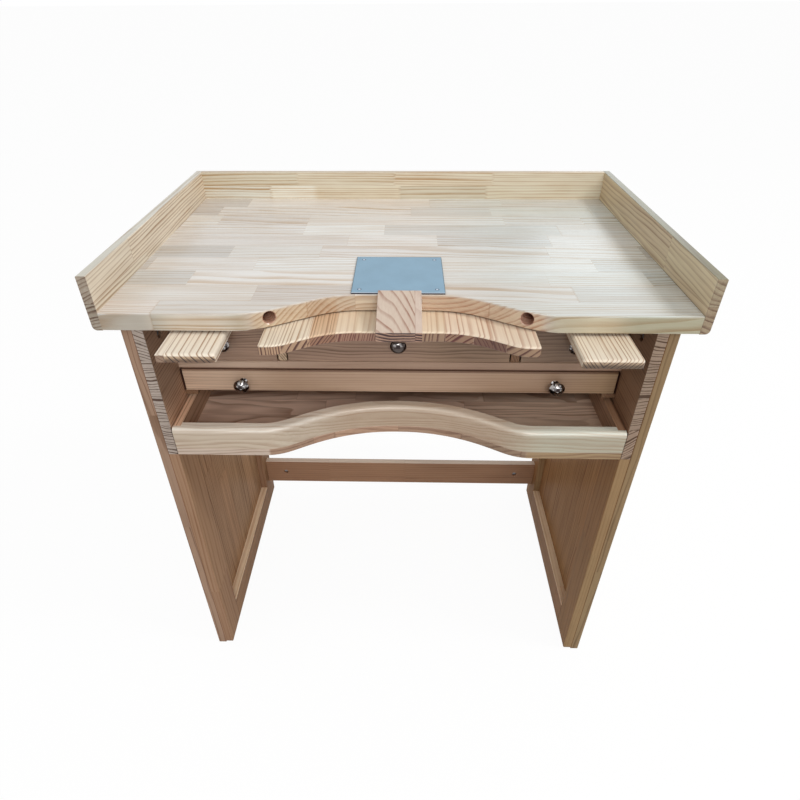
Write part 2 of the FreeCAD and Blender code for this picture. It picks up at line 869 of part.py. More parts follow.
def make_lower_drawer():
    front_z = (lower_front_bottom, lower_front_top)
    side_z = (lower_front_bottom, lower_front_top - lower_wall_drop)
    places = [(-lower_knob_x, lower_knob_z), (lower_knob_x, lower_knob_z)]
    pieces = make_drawer(-lower_front_half, lower_front_half, front_z, side_z, lower_wall, places)
    nodes = {f"lower_drawer_{piece}": pieces[piece] for piece in drawer_boards}
    nodes["lower_drawer_knobs"] = group(pieces["knobs"])
    return nodes


def make_lower_runners():
    top = lower_front_bottom - running_gap
    cleat = block(leg_inner - cleat_width, leg_inner, fronts_y, inside_back_y, top - cleat_height, top)
    return group([on_side(cleat, side) for side in (-1, 1)])


def make_tray():
    face_y = front_y + tray_setback
    rear_y = face_y + tray_length
    wall_z = tray_bottom_z + tray_floor
    back_of_front = face_y + tray_front_thickness
    outer_bay = (tray_bay_depth, tray_flat_half, tray_inner_radius, tray_outer_radius)
    inner_bay = (
        tray_bay_depth, tray_flat_half,
        tray_inner_radius + tray_front_thickness, tray_outer_radius - tray_front_thickness,
    )
    wall_height = tray_top - wall_z
    solid = bayed_board(tray_half, face_y, rear_y, wall_z, wall_height, outer_bay)
    inside = bayed_board(
        tray_half + past_face, back_of_front, rear_y + past_face, wall_z, wall_height, inner_bay,
    )
    front = solid.cut(inside)

    def top_front(box):
        level = near(box.ZMin, tray_top) and near(box.ZMax, tray_top)
        sideways = box.XMax - box.XMin > past_face
        deepest = face_y + tray_bay_depth
        return level and sideways and is_on_face(box, face_y, deepest)

    front = rounded(front, tray_top_round, top_front)
    lap_y = back_of_front - tray_lap
    lap = block(tray_half - tray_wall, tray_half, lap_y, back_of_front, wall_z, tray_top)
    front = front.cut([lap, mirrored(lap)])

    wall = block(tray_half - tray_wall, tray_half, lap_y, rear_y, wall_z, tray_top)
    groove = block(
        tray_half - tray_runner_depth + tray_runner_play - running_gap, tray_half + past_face,
        lap_y + tray_groove_stop, rear_y + past_face,
        tray_runner_z - running_gap, tray_runner_z + tray_runner_height + running_gap,
    )
    wall = wall.cut(groove)
    back = block(
        -tray_half + tray_wall, tray_half - tray_wall, rear_y - tray_wall, rear_y, wall_z, tray_top,
    )
    floor = bayed_board(tray_half, face_y, rear_y, tray_bottom_z, tray_floor, outer_bay)

    def low_front(box):
        level = near(box.ZMax, tray_bottom_z)
        return level and near(box.ZMin, box.ZMax) and box.YMin < rear_y - past_face

    floor = rounded(floor, tray_bottom_arris, low_front)
    runner_x = leg_inner - tray_runner_depth
    runner = block(
        runner_x, leg_inner, lap_y + tray_groove_stop + tray_runner_play, inside_back_y,
        tray_runner_z, tray_runner_z + tray_runner_height,
    )
    return {
        "catch_tray_front": front,
        "catch_tray_sides": group([mirrored(wall), wall]),
        "catch_tray_back": back,
        "catch_tray_bottom": floor,
        "tray_runners": group([on_side(runner, side) for side in (-1, 1)]),
    }


def is_on_face(box, face_y, deepest):
    """True for the edges of the outer face of the tray's bayed front, told from the inner ones."""
    straight = near(box.YMin, face_y) and near(box.YMax, face_y)
    flat = near(box.YMin, deepest) and near(box.YMax, deepest)
    curve_top = near(box.YMin, face_y) or near(box.YMax, deepest)
    sine_fall = 1.0 - math.cos(bay_slope)
    slope = (
        near(box.YMin, face_y + tray_outer_radius * sine_fall)
        and near(box.YMax, deepest - tray_inner_radius * sine_fall)
    )
    return straight or flat or curve_top or slope


# ---- all nodes ----------------------------------------------------------------------------

def make_nodes():
    nodes = {"worktop": make_worktop()}
    nodes["gallery_left"], nodes["gallery_right"], nodes["gallery_back"] = make_gallery()
    nodes["gallery_screws"] = group([
        screw(place, way, *gallery_screw_size) for place, way in gallery_screw_places()
    ])
    nodes["steel_plate"] = make_plate()
    nodes["plate_screws"] = group([
        screw(place, down, *plate_screw_size) for place in plate_screw_places()
    ])
    nodes["worktop_screws"] = group([
        screw(place, up, *worktop_screw_size) for place in worktop_screw_places()
    ])
    nodes["bench_pin"] = make_bench_pin()

    leg_boards = ("leg_panel", "leg_front_batten", "leg_rear_batten", "leg_foot_batten")
    for board_name, board in zip(leg_boards, make_leg()):
        nodes[f"{board_name}_right"] = board
        nodes[f"{board_name}_left"] = mirrored(board)
    carcass_side = make_carcass_side()
    nodes["carcass_side_right"] = carcass_side
    nodes["carcass_side_left"] = mirrored(carcass_side)
    nodes["carcass_back"] = block(-leg_inner, leg_inner, inside_back_y, leg_back_y, carcass_bottom, underside)
    nodes["middle_shelf"], nodes["top_panel"] = make_shelf_and_top()
    nodes["divider_left"] = make_divider(-1)
    nodes["divider_right"] = make_divider(1)
    nodes["guide_strips"] = make_guide_strips()
    nodes["slide_stop_pins"] = make_stop_pins()
    nodes["carcass_bolts"] = group(make_carcass_bolts())
    nodes["rear_stretcher"] = make_stretcher()
    bolts, nuts = make_stretcher_hardware()
    nodes["stretcher_bolts"] = group(bolts)
    nodes["stretcher_barrel_nuts"] = group(nuts)

    nodes["armrest_left"] = make_armrest(-1, armrest_reach_left, armrest_strip)
    nodes["armrest_right"] = make_armrest(1, armrest_reach_right)
    nodes["elbow_board"] = make_elbow_board()
    nodes.update(make_upper_drawers())
    nodes.update(make_lower_drawer())
    nodes["lower_drawer_runners"] = make_lower_runners()
    nodes.update(make_tray())
    return nodes


os.makedirs("parts", exist_ok=True)
for node_name, node_shape in make_nodes().items():
    bounds = node_shape.BoundBox
    print(
        f"{node_name:26s} solids {len(node_shape.Solids)} valid {node_shape.isValid()}"
        f" x {bounds.XMin:.1f} {bounds.XMax:.1f} y {bounds.YMin:.1f} {bounds.YMax:.1f}"
        f" z {bounds.ZMin:.1f} {bounds.ZMax:.1f}"
    )
    node_shape.exportStep(f"parts/{node_name}.step")
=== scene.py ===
from fnmatch import fnmatchcase
import json
import math

import bpy
from mathutils import Matrix, Vector


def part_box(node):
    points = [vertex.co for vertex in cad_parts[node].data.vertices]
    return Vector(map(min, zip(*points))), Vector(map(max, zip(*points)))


# Lengths are in metres, in the frame of the CAD: +X is the sitter's right, +Y away from the sitter, +Z up.

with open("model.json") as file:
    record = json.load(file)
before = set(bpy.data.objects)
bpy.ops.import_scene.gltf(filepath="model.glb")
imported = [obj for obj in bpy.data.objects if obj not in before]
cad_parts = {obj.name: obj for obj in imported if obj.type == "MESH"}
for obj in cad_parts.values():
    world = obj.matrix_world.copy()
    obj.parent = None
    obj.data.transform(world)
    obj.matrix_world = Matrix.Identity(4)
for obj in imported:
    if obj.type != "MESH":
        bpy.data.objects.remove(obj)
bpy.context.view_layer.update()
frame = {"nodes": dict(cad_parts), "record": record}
nodes = frame["nodes"]
scene = bpy.context.scene


# ---- small helpers ------------------------------------------------------------------------

def deselect():
    """Nothing is selected, so that the next operator acts on its own piece."""
    for obj in bpy.context.selected_objects:
        obj.select_set(False)


def linear(red, green, blue):
    """A colour given as 0 to 255 on the screen, as the shader wants it."""
    def one(value):
        value /= 255.0
        return value / 12.92 if value <= 0.04045 else ((value + 0.055) / 1.055) ** 2.4

    return (one(red), one(green), one(blue), 1.0)


class Net:
    """Adds nodes to a node tree and links them, so that a network reads as a formula."""

    def __init__(self, tree):
        self.tree = tree

    def add(self, kind, **settings):
        node = self.tree.nodes.new(kind)
        for name, value in settings.items():
            setattr(node, name, value)
        return node

    def feed(self, socket, value):
        if isinstance(value, bpy.types.NodeSocket):
            self.tree.links.new(value, socket)
        elif value is not None:
            socket.default_value = value

    def math(self, operation, a, b=None, clamp=False):
        node = self.add("ShaderNodeMath", operation=operation, use_clamp=clamp)
        self.feed(node.inputs[0], a)
        self.feed(node.inputs[1], b)
        return node.outputs[0]

    def plus(self, a, b, clamp=False):
        return self.math("ADD", a, b, clamp)

    def minus(self, a, b):
        return self.math("SUBTRACT", a, b)

    def times(self, a, b):
        return self.math("MULTIPLY", a, b)

    def over(self, a, b):
        return self.math("DIVIDE", a, b)

    def vector(self, operation, a, b=None):
        node = self.add("ShaderNodeVectorMath", operation=operation)
        self.feed(node.inputs[0], a)
        self.feed(node.inputs[1], b)
        return node.outputs["Value" if operation == "LENGTH" else "Vector"]

    def split(self, vector):
        node = self.add("ShaderNodeSeparateXYZ")
        self.feed(node.inputs[0], vector)
        return node.outputs[0], node.outputs[1], node.outputs[2]

    def join(self, x, y, z):
        node = self.add("ShaderNodeCombineXYZ")
        for socket, value in zip(node.inputs, (x, y, z)):
            self.feed(socket, value)
        return node.outputs[0]

    def place(self):
        """Where each point of the piece lies."""
        return self.add("ShaderNodeTexCoord").outputs["Object"]

    def chance(self, vector):
        """White noise: one random value and three more for each vector."""
        node = self.add("ShaderNodeTexWhiteNoise", noise_dimensions="3D")
        self.feed(node.inputs["Vector"], vector)
        return node.outputs["Value"], node.outputs["Color"]

    def noise(self, vector, scale, detail=2.0, roughness=0.5):
        node = self.add("ShaderNodeTexNoise", noise_dimensions="3D")
        self.feed(node.inputs["Vector"], vector)
        node.inputs["Scale"].default_value = scale
        node.inputs["Detail"].default_value = detail
        node.inputs["Roughness"].default_value = roughness
        return node.outputs["Fac"]

    def ramp(self, value, low, high):
        """0 at low and 1 at high, with a smooth change between them. high may be the smaller one."""
        node = self.add("ShaderNodeMapRange", interpolation_type="SMOOTHSTEP")
        self.feed(node.inputs["Value"], value)
        self.feed(node.inputs["From Min"], low)
        self.feed(node.inputs["From Max"], high)
        return node.outputs["Result"]

    def blend(self, factor, a, b, mode="MIX"):
        node = self.add("ShaderNodeMix", data_type="RGBA", blend_type=mode)
        self.feed(node.inputs["Factor"], factor)
        self.feed(node.inputs["A"], a)
        self.feed(node.inputs["B"], b)
        return node.outputs["Result"]

    def tint(self, colour, by):
        return self.blend(1.0, colour, by, "MULTIPLY")

    def relief(self, shader, height, strength, depth):
        """Fine unevenness that catches the light. depth is that of a height of 1."""
        bump = self.add("ShaderNodeBump")
        bump.inputs["Strength"].default_value = strength
        bump.inputs["Distance"].default_value = depth
        self.feed(bump.inputs["Height"], height)
        self.feed(shader["Normal"], bump.outputs["Normal"])


def new_group(name, inputs, outputs):
    """An empty shader node group. inputs and outputs are (name, socket kind, value)."""
    group = bpy.data.node_groups.new(name, "ShaderNodeTree")
    for socket_name, kind, value in inputs:
        socket = group.interface.new_socket(socket_name, in_out="INPUT", socket_type=kind)
        if value is not None:
            socket.default_value = value
    for socket_name, kind in outputs:
        group.interface.new_socket(socket_name, in_out="OUTPUT", socket_type=kind)
    net = Net(group)
    source = net.add("NodeGroupInput")
    result = net.add("NodeGroupOutput")
    return group, net, source.outputs, result.inputs


def new_material(name):
    material = bpy.data.materials.new(name)
    material.use_nodes = True
    material.node_tree.nodes.clear()
    net = Net(material.node_tree)
    shader = net.add("ShaderNodeBsdfPrincipled")
    output = net.add("ShaderNodeOutputMaterial")
    net.feed(output.inputs["Surface"], shader.outputs["BSDF"])
    return material, net, shader.inputs


FLOAT = "NodeSocketFloat"
COLOUR = "NodeSocketColor"
VECTOR = "NodeSocketVector"


# ---- glued pine staves --------------------------------------------------------------------

def pine_staves():
    """Pine boards glued up from finger-jointed blocks, each cut from its own place in a log.

    Vector is (along the grain, across the board, through the board), and Level is the middle of the board.
    The heart of each block's log lies at Heart Distance from the middle of its stave. With a Cut Angle of 0
    it is to the side of the board, which gives straight lines. With a quarter turn it is above the board,
    which gives arches. Run is how far the grain runs out of the board per metre, Slope its spread.
    """
    group, net, given, result = new_group(
        "pine staves",
        [
            ("Vector", VECTOR, None),
            ("Level", FLOAT, 0.0),
            ("Stave Width", FLOAT, 0.06),
            ("Stave Start", FLOAT, 0.0),
            ("Block Length", FLOAT, 0.3),
            ("Finger", FLOAT, 0.0),
            ("Ring Width", FLOAT, 0.006),
            ("Line Start", FLOAT, 0.5),
            ("Unevenness", FLOAT, 2.0),
            ("Heart Distance", FLOAT, 0.2),
            ("Reach Spread", FLOAT, 0.6),
            ("Cut Angle", FLOAT, 0.5),
            ("Cut Spread", FLOAT, 1.0),
            ("Run", FLOAT, 0.0),
            ("Slope", FLOAT, 0.04),
            ("Wander", FLOAT, 0.25),
            ("Contrast", FLOAT, 0.5),
            ("Streak", FLOAT, 0.3),
            ("Tone Spread", FLOAT, 0.1),
            ("Seam", FLOAT, 0.35),
            ("Seed", FLOAT, 0.0),
            ("Early Wood", COLOUR, (0.7, 0.5, 0.3, 1.0)),
            ("Late Wood", COLOUR, (0.4, 0.2, 0.1, 1.0)),
        ],
        [("Color", COLOUR), ("Height", FLOAT), ("Roughness", FLOAT)],
    )
    along, across, through = net.split(given["Vector"])
    through = net.minus(through, given["Level"])
    seed = given["Seed"]

    # These keep the random draws for staves, years, blocks and logs apart.
    stave_draw, year_draw, block_draw = 3.7, 11.3, 7.3
    log_draws = (31.0, 17.0)

    # Which stave, and which block of it. The ends of the blocks are a zigzag where fingers show.
    finger_pitch = 0.002
    most_blocks_shifted = 9.0
    length_change, length_change_rate = 0.3, 2.4
    stave_place = net.over(net.minus(across, given["Stave Start"]), given["Stave Width"])
    stave = net.math("FLOOR", stave_place)
    stave_value, _ = net.chance(net.join(stave, seed, stave_draw))
    zigzag = net.times(net.math("PINGPONG", across, finger_pitch), 1.0 / finger_pitch)
    zigzag = net.times(zigzag, given["Finger"])
    block_place = net.over(net.plus(along, zigzag), given["Block Length"])
    block_place = net.plus(block_place, net.times(stave_value, most_blocks_shifted))
    uneven = net.math("SINE", net.times(block_place, length_change_rate))
    block_place = net.plus(block_place, net.times(uneven, length_change))
    block = net.math("FLOOR", block_place)
    cut_chance, colour = net.chance(net.join(stave, block, seed))
    reach_chance, tone_chance, taper_chance = net.split(colour)

    # The heart of each block's log, as seen from the middle of its stave.
    angle = net.plus(given["Cut Angle"], net.times(net.minus(cut_chance, 0.5), given["Cut Spread"]))
    spread = net.times(net.minus(reach_chance, 0.5), given["Reach Spread"])
    reach = net.times(given["Heart Distance"], net.plus(1.0, spread))
    middle = net.plus(net.times(net.plus(stave, 0.5), given["Stave Width"]), given["Stave Start"])
    side = net.minus(across, net.plus(middle, net.times(reach, net.math("COSINE", angle))))
    deep = net.minus(through, net.times(reach, net.math("SINE", angle)))

    # Distance from the heart, with the slow wander and taper of a real trunk.
    wander_along, wander_across, wander_reach = 4.0, 14.0, 0.03
    shift = net.join(
        net.plus(net.times(along, wander_along), net.times(reach_chance, log_draws[0])),
        net.times(across, wander_across),
        net.plus(net.times(through, wander_across), net.times(tone_chance, log_draws[1])),
    )
    wander = net.times(net.minus(net.noise(shift, 1.0), 0.5), wander_reach)
    wander = net.times(wander, given["Wander"])
    taper = net.plus(net.times(net.minus(taper_chance, 0.5), given["Slope"]), given["Run"])
    radius = net.math("SQRT", net.plus(net.times(side, side), net.times(deep, deep)))
    radius = net.plus(net.plus(radius, wander), net.times(along, taper))

    # Each year is pale first and ends in a dark line; years differ in width and strength.
    width_change_rate = 0.45
    line_full, line_end = 0.9, 0.93
    year_place = net.over(radius, given["Ring Width"])
    uneven = net.join(net.times(year_place, width_change_rate), net.times(block, block_draw), stave)
    uneven = net.times(net.noise(uneven, 1.0, detail=1.0), given["Unevenness"])
    year_place = net.plus(year_place, uneven)
    year = net.math("FLOOR", year_place)
    within = net.math("FRACT", year_place)
    year_value, _ = net.chance(net.join(year, stave, net.plus(seed, year_draw)))
    late = net.ramp(within, given["Line Start"], line_full)
    late = net.times(late, net.minus(1.0, net.ramp(within, line_end, 1.0)))
    late = net.times(late, net.plus(0.5, net.times(year_value, 0.5)))

    # Fibres: fine streaks and broad clouds, both drawn out along the grain.
    def fibres(along_rate, across_rate, roughness):
        """From -0.5 to 0.5. The rates are changes per metre."""
        place = net.join(
            net.times(along, along_rate), net.times(across, across_rate), net.times(through, across_rate))
        return net.minus(net.noise(place, 1.0, 3.0, roughness), 0.5)

    streak = fibres(5.0, 340.0, 0.65)
    cloud = fibres(6.0, 40.0, 0.55)

    # How far each point is from early wood to late wood.
    cloud_on_contrast, all_over = 1.6, 0.3
    contrast = net.times(given["Contrast"], net.plus(1.0, net.times(cloud, cloud_on_contrast)))
    fade = net.times(late, contrast)
    fade = net.plus(fade, net.times(streak, given["Streak"]))
    fade = net.plus(fade, net.times(cloud, given["Streak"]))
    fade = net.plus(fade, net.times(given["Streak"], all_over), clamp=True)
    wood = net.blend(fade, given["Early Wood"], given["Late Wood"])

    # Blocks differ in tone, some rosier and some yellower.
    rosy, yellow = (1.0, 0.955, 0.92, 1.0), (0.985, 0.99, 0.965, 1.0)
    tone = net.times(net.minus(tone_chance, 0.5), given["Tone Spread"])
    tone = net.plus(1.0, net.times(tone, 2.0))
    wood = net.tint(wood, net.blend(taper_chance, rosy, yellow))
    wood = net.tint(wood, net.join(tone, tone, tone))

    # Glue lines between the staves and at the ends of the blocks.
    glue_half, glue_fade = 0.0002, 0.0009

    def to_joint(place, length):
        """How far a point is from the nearer end of its stave or block."""
        off_middle = net.math("ABSOLUTE", net.minus(net.math("FRACT", place), 0.5))
        return net.times(net.minus(0.5, off_middle), length)

    nearest = net.math(
        "MINIMUM", to_joint(stave_place, given["Stave Width"]), to_joint(block_place, given["Block Length"]))
    seam = net.times(net.minus(1.0, net.ramp(nearest, glue_half, glue_fade)), given["Seam"])
    net.feed(result["Color"], net.blend(seam, wood, given["Late Wood"]))

    # Late wood and seams lie lower, and late wood shines more.
    height = net.plus(net.times(late, -0.5), net.times(streak, 0.5))
    net.feed(result["Height"], net.minus(height, seam))
    net.feed(result["Roughness"], net.plus(net.times(streak, 0.16), net.times(late, -0.06)))
    return group


pine_group = pine_staves()

# Which of x, y and z run along the grain, across the board and through it, by the name of the grain.
GRAIN_ORDER = {
    "x": (0, 1, 2), "xz": (0, 2, 1),
    "y": (1, 0, 2), "yz": (1, 2, 0),
    "z": (2, 1, 0),
}


# ---- zones: faces, cut edges and staves that differ from the rest of a piece --------------

# How deep the colour of one face goes into the wood, and half the width of a hard change.
SKIN = 0.0006
HARD = 0.0004

# The two halves of the bench.
LEFT = (None, 0.0)
RIGHT = (0.0, None)


def tinted(limits, tint, depth=0.0):
    """A zone whose colour is multiplied by a tint. depth strengthens its figure, from 0 to 1."""
    return limits, (tint, depth)


def figured(limits, **values):
    """A zone with a figure of its own: the values that differ from those of the piece."""
    return limits, values


def front_of(node, depth=SKIN):
    return {"y": (None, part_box(node)[0].y + depth)}


def top_of(node, depth=SKIN):
    return {"z": (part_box(node)[1].z - depth, None)}


def zone_mask(net, axes, limits):
    """1 inside a box given as {"y": (low, high)}, where None leaves a side open.

    "soft" is the half width of the change at its sides, and "soft_x" the same for the sides in x alone.
    """
    limits = dict(limits)
    all_soft = limits.pop("soft", HARD)
    x_soft = limits.pop("soft_x", all_soft)
    mask = 1.0
    for axis, (low, high) in limits.items():
        soft = x_soft if axis == "x" else all_soft
        place = axes["xyz".index(axis)]
        if low is not None:
            mask = net.times(mask, net.ramp(place, low - soft, low + soft))
        if high is not None:
            mask = net.times(mask, net.ramp(place, high + soft, high - soft))
    return mask


def lacquered_pine(node, grain, early, late, gloss=0.36, shine=0.25, zones=(), finish=None, **values):
    """The lacquered pine of one node. grain names the axis along the grain, then the one across it.

    early and late are the colours of a year's pale and dark wood, gloss is the roughness, shine the lacquer.
    values are for the sockets of the pine staves. finish may change the colour once more.
    """
    low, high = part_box(node)
    order = GRAIN_ORDER[grain]
    material, net, shader = new_material("pine " + node.replace("_", " "))
    place = net.place()
    axes = net.split(place)
    grain_vector = net.join(*(axes[i] for i in order))

    def staves_of(**figure):
        staves = net.add("ShaderNodeGroup", node_tree=pine_group)
        net.feed(staves.inputs["Vector"], grain_vector)
        staves.inputs["Level"].default_value = (low[order[2]] + high[order[2]]) / 2.0
        staves.inputs["Stave Start"].default_value = low[order[1]]
        staves.inputs["Seed"].default_value = float(sorted(nodes).index(node))
        staves.inputs["Early Wood"].default_value = linear(*figure.pop("early"))
        staves.inputs["Late Wood"].default_value = linear(*figure.pop("late"))
        for key, value in figure.items():
            staves.inputs[key.replace("_", " ").title()].default_value = value
        return staves

    values.update(early=early, late=late)
    staves = staves_of(**values)
    colour = staves.outputs["Color"]
    for limits, change in zones:
        if isinstance(change, dict):
            changed = staves_of(**{**values, **change}).outputs["Color"]
        else:
            tint, depth = change
            tint = [value / (1.0 - depth + depth * pale) for value, pale in zip(tint, linear(*early))]
            figure = net.blend(depth, (1.0, 1.0, 1.0, 1.0), colour)
            changed = net.tint(net.tint(colour, figure), (*tint, 1.0))
        colour = net.blend(zone_mask(net, axes, limits), colour, changed)
    if finish:
        colour = finish(net, place, colour)
    net.feed(shader["Base Color"], colour)
    net.feed(shader["Roughness"], net.plus(gloss, staves.outputs["Roughness"]))
    shader["Coat Weight"].default_value = shine
    shader["Coat Roughness"].default_value = 0.22
    shader["Specular IOR Level"].default_value = min(0.5, 2.0 * shine)
    net.relief(shader, staves.outputs["Height"], strength=0.25, depth=0.0003)
    return material


# ---- the woods of the bench ---------------------------------------------------------------

LEG_LINE = (116, 80, 52)

# Thin lacquer on the legs, and a little more inside the carcass.
LEG_LACQUER = {"gloss": 0.55, "shine": 0.02}
INSIDE_LACQUER = {"gloss": 0.45, "shine": 0.1}
DRAWER_LACQUER = {"gloss": 0.45, "shine": 0.15}

# A front that is one plain board, with no seam in sight.
ONE_BOARD = {"stave_width": 0.2, "block_length": 3.0}


def worktop_pine(node):
    """Pale staves; the cut faces of the bay are warmer, and the bores are dark and rosy inside. A cool
    painted light lies on the right part, painted light on the bay behind the pin, and painted shade along the
    bay's lower edge.
    """
    low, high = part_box(node)
    bend = 0.003
    bay_back = -0.15
    below_top = (None, high.z - 0.0015)
    front = {"z": below_top, "y": (None, low.y + bend), "soft": bend}
    bay = {"z": below_top, "y": (low.y + bend, bay_back), "soft": bend}
    painted_lower_edge_shading = {"z": (None, low.z + 0.0017), "y": (low.y + bend, bay_back)}
    right_side_painted_shading = {"x": (0.12, None), "soft": 0.12}
    painted_light_behind_pin = (-0.1, 0.0)
    zones = [
        # Painted light: a cool tint on the right part of the top.
        tinted(right_side_painted_shading, (0.88, 0.945, 0.96)),
        tinted({**front, "x": LEFT}, (0.87, 0.81, 0.7), 0.3),
        tinted({**front, "x": RIGHT}, (0.84, 0.7, 0.53), 0.3),
        figured(
            {**bay, "x": LEFT}, early=(222, 204, 178), late=(166, 122, 84), cut_angle=-0.6, cut_spread=0.2,
            ring_width=0.005, contrast=0.6),
        figured(
            {**bay, "x": RIGHT}, early=(212, 194, 170), late=(160, 108, 80), cut_angle=0.6, cut_spread=0.2,
            ring_width=0.006, contrast=0.65),
        # Painted light on the bay's face behind the pin, where its shadow falls.
        tinted({**bay, "x": painted_light_behind_pin}, (1.03, 1.1, 1.18)),
        # Painted shade along the lower edge of the bay, in the gap over the elbow board.
        tinted(painted_lower_edge_shading, (0.34, 0.26, 0.2)),
    ]
    # The blocks that show in the front edge: from where to where, how soft their ends are, and the tint.
    front_blocks = [
        (None, -0.375, 0.025, (0.66, 0.69, 0.72)),
        (-0.345, -0.265, 0.02, (1.14, 1.15, 1.2)),
        (-0.25, 0.0, 0.015, (0.87, 0.82, 0.74)),
        (0.0, 0.235, 0.015, (0.76, 0.69, 0.64)),
        (0.28, 0.33, 0.02, (1.12, 1.12, 1.13)),
        (0.345, None, 0.02, (0.79, 0.83, 0.79)),
    ]
    for start, end, soft, tint in front_blocks:
        zones.append(tinted({**front, "x": (start, end), "soft_x": soft}, tint))

    def bores(net, place, colour):
        """Rosy from a little outside the bores' walls inwards."""
        outside, inside = 0.0115, 0.0108
        for mount in frame["record"]["mounts"]:
            if mount["kind"] != "bore":
                continue
            away = net.vector("SUBTRACT", place, mount["pos_m"])
            away = net.vector("LENGTH", net.vector("CROSS_PRODUCT", away, mount["axis"]))
            rosy = net.tint(colour, (0.95, 0.76, 0.78, 1.0))
            colour = net.blend(net.ramp(away, outside, inside), colour, rosy)
        return colour

    return lacquered_pine(
        node, "x", (229, 231, 231), (192, 170, 144), gloss=0.3, zones=zones, finish=bores, stave_start=0.02,
        block_length=0.27, ring_width=0.0065, line_start=0.35, cut_angle=0.6, cut_spread=1.5, slope=0.08,
        wander=0.35, contrast=0.62, streak=0.6, tone_spread=0.16, seed=2.0)


def gallery_side_pine(node):
    """The two sides are cut so that their lines lean the same way. The right side is painted darker as shade,
    with painted shade on its top edge and in the crease along its foot; the left side's top edge has painted
    light.
    """
    low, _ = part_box(node)
    right = node.endswith("right")
    zones = [
        tinted(front_of(node), (0.5, 0.49, 0.5), 1.0),
        # Painted light on the left side's top edge, painted shade on the right side's.
        tinted(top_of(node), (0.34, 0.4, 0.33) if right else (1.04, 1.2, 1.38)),
    ]
    # Painted shade in the crease where the right side's inner face meets the worktop.
    if right:
        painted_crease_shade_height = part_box("worktop")[1].z + 0.0014
        inner_face = (None, low.x + SKIN)
        zones.append(tinted({"x": inner_face, "z": (None, painted_crease_shade_height)}, (0.5, 0.45, 0.4)))
    # The right side's colour is painted darker than the left's, as shade.
    return lacquered_pine(
        node, "yz", (230, 213, 178) if right else (240, 231, 212), (160, 126, 90), zones=zones,
        stave_width=0.045, block_length=0.7, ring_width=0.0085 if right else 0.0065, line_start=0.4,
        cut_angle=0.35 if right else 2.8, cut_spread=0.3, slope=0.04, wander=0.6 if right else 0.25,
        contrast=0.6 if right else 0.75, streak=0.55, tone_spread=0.07)


def gallery_back_pine(node):
    """A pale block low on the left."""
    low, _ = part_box(node)
    pale = {"x": (None, -0.2), "z": (None, low.z + 0.06), "soft_x": 0.01}
    return lacquered_pine(
        node, "xz", (225, 220, 201), (176, 142, 100), zones=[tinted(pale, (1.16, 1.25, 1.4))],
        stave_width=0.03, block_length=0.32, finger=0.008, ring_width=0.0055, line_start=0.4, cut_angle=0.4,
        cut_spread=0.9, slope=0.05, wander=0.25, contrast=0.7, streak=0.6, tone_spread=0.11, seed=8.0)


def elbow_pine(node):
    """Staves of several logs: fine lines on the left, plain wood behind the pin, wide lines on the right."""
    low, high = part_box(node)
    below_round = (None, high.z - 0.003)
    comb = low.x + 0.034
    brown = (-0.135, -0.096)
    plain = (-0.096, 0.075)
    left_wing = dict(ring_width=0.0048, contrast=0.78, early=(248, 236, 216), late=(166, 124, 86))
    zones = [
        figured({"x": brown}, early=(226, 196, 162), late=(140, 92, 60), ring_width=0.0042),
        figured({"x": plain}, early=(240, 222, 196), late=(186, 146, 108), contrast=0.5, ring_width=0.0075),
        figured(
            {"x": (plain[1], None)}, early=(243, 228, 206), late=(172, 120, 90), contrast=0.8,
            ring_width=0.0088, cut_angle=-0.5, unevenness=3.0),
    ]
    # The staves of the cut edge: their width, pale and dark wood, contrast, cut angle and ring width.
    edge_staves = [
        ((None, comb), (186, 150, 120), (84, 46, 28), 1.9, 0.0, 0.0048),
        ((comb, brown[0]), (182, 148, 118), (84, 44, 26), 1.5, -0.6, 0.0085),
        (brown, (152, 112, 86), (78, 30, 18), 1.6, -0.7, 0.0052),
        ((brown[1], 0.0), (156, 118, 96), (98, 44, 32), 1.5, -0.25, 0.0042),
        ((0.0, plain[1]), (160, 130, 104), (92, 54, 38), 1.4, -0.1, 0.008),
        ((plain[1], 0.118), (154, 122, 96), (88, 32, 22), 1.6, -0.9, 0.008),
        ((0.118, 0.165), (114, 78, 60), (78, 36, 24), 1.5, 0.5, 0.006),
        ((0.165, None), (160, 130, 102), (84, 42, 26), 1.6, -0.8, 0.0085),
    ]
    for stave, early, late, contrast, cut_angle, ring_width in edge_staves:
        zones.append(figured(
            {"z": below_round, "x": stave}, early=early, late=late, contrast=contrast, cut_angle=cut_angle,
            cut_spread=0.0, ring_width=ring_width))
    return lacquered_pine(
        node, "y", zones=zones, stave_width=0.071, block_length=2.0, line_start=0.5, cut_angle=-0.7,
        cut_spread=0.4, heart_distance=0.4, slope=0.03, wander=0.15, streak=0.4, tone_spread=0.03, seed=3.0,
        **left_wing)


def nose_of(node, **more):
    """The rounded front end of an armrest: the whole of its end grain, and the part low down that is painted
    dark as shade.
    """
    _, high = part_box(node)
    nose = {**front_of(node, 0.002), **more}
    end_grain = {**nose, "z": (None, high.z - 0.0035), "soft": 0.001}
    painted_shade_low = {**nose, "z": (None, high.z - 0.0075), "soft": 0.003}
    return end_grain, painted_shade_low


